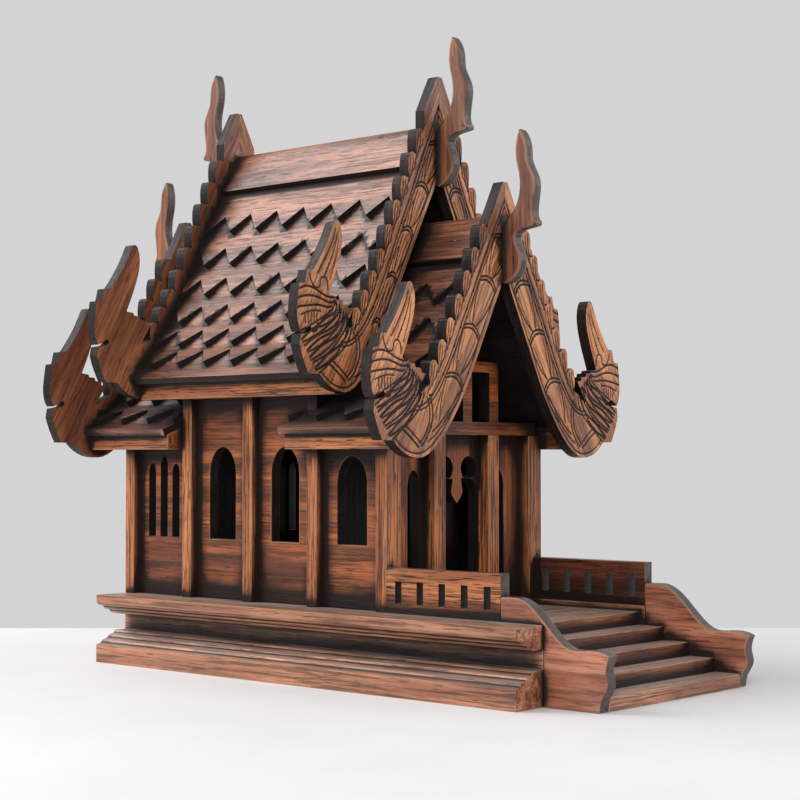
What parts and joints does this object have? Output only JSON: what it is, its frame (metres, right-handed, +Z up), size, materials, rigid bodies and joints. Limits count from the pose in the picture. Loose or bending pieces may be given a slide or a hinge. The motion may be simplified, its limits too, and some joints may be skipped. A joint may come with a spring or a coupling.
{
  "type": "thai wooden spirit house",
  "caption": "Table-top teak shrine house on a moulded plinth with a stair, arched windows, tiered saw-tooth gable roofs, finned bargeboards with naga heads and chofa finials.",
  "frame": {"origin": "on the ground, at the middle of the whole object's footprint box", "axes": "+X to the right for a viewer facing the stair, +Y from the stair to the back of the house, +Z up"},
  "size_m": [0.2692, 0.4746, 0.429],
  "materials": {
    "teak": "stained open-grain teak, satin, darker in the corners",
    "golden_teak": "lighter stained teak with dark grain, satin",
    "roof_teak": "pinkish brown stained teak boards, satin",
    "dark_teak": "dark stained teak, matt"
  },
  "bodies": {
    "root": {"plinth_left": "teak", "plinth_right": "teak", "plinth_back": "dark_teak", "house_floor": "dark_teak", "porch_deck": "dark_teak", "step_1": "teak", "step_2": "teak", "step_3": "teak", "step_4": "teak", "cheek_left": "teak", "cheek_right": "teak", "balustrade_left": "golden_teak", "balustrade_right": "golden_teak", "left_posts": "golden_teak", "right_posts": "golden_teak", "middle_posts": "golden_teak", "left_back_wall": "teak", "left_nave_wall": "teak", "left_front_wall": "teak", "right_back_wall": "teak", "right_nave_wall": "teak", "right_front_wall": "teak", "front_wall": "teak", "cross_wall": "teak", "back_wall": "teak", "front_gable_frame": "golden_teak", "back_gable_frame": "golden_teak", "main_eave_beams": "golden_teak", "front_eave_beams": "golden_teak", "back_eave_beams": "golden_teak", "main_roof_left": "roof_teak", "main_roof_right": "roof_teak", "front_roof_left": "roof_teak", "front_roof_right": "roof_teak", "back_roof_left": "roof_teak", "back_roof_right": "roof_teak", "main_front_barge_left": "golden_teak", "main_front_barge_right": "golden_teak", "main_back_barge_left": "golden_teak", "main_back_barge_right": "golden_teak", "low_front_barge_left": "golden_teak", "low_front_barge_right": "golden_teak", "low_back_barge_left": "golden_teak", "low_back_barge_right": "golden_teak", "main_front_chofa": "golden_teak", "main_back_chofa": "golden_teak", "low_front_chofa": "golden_teak", "low_back_chofa": "golden_teak"}
  },
  "joints": []
}
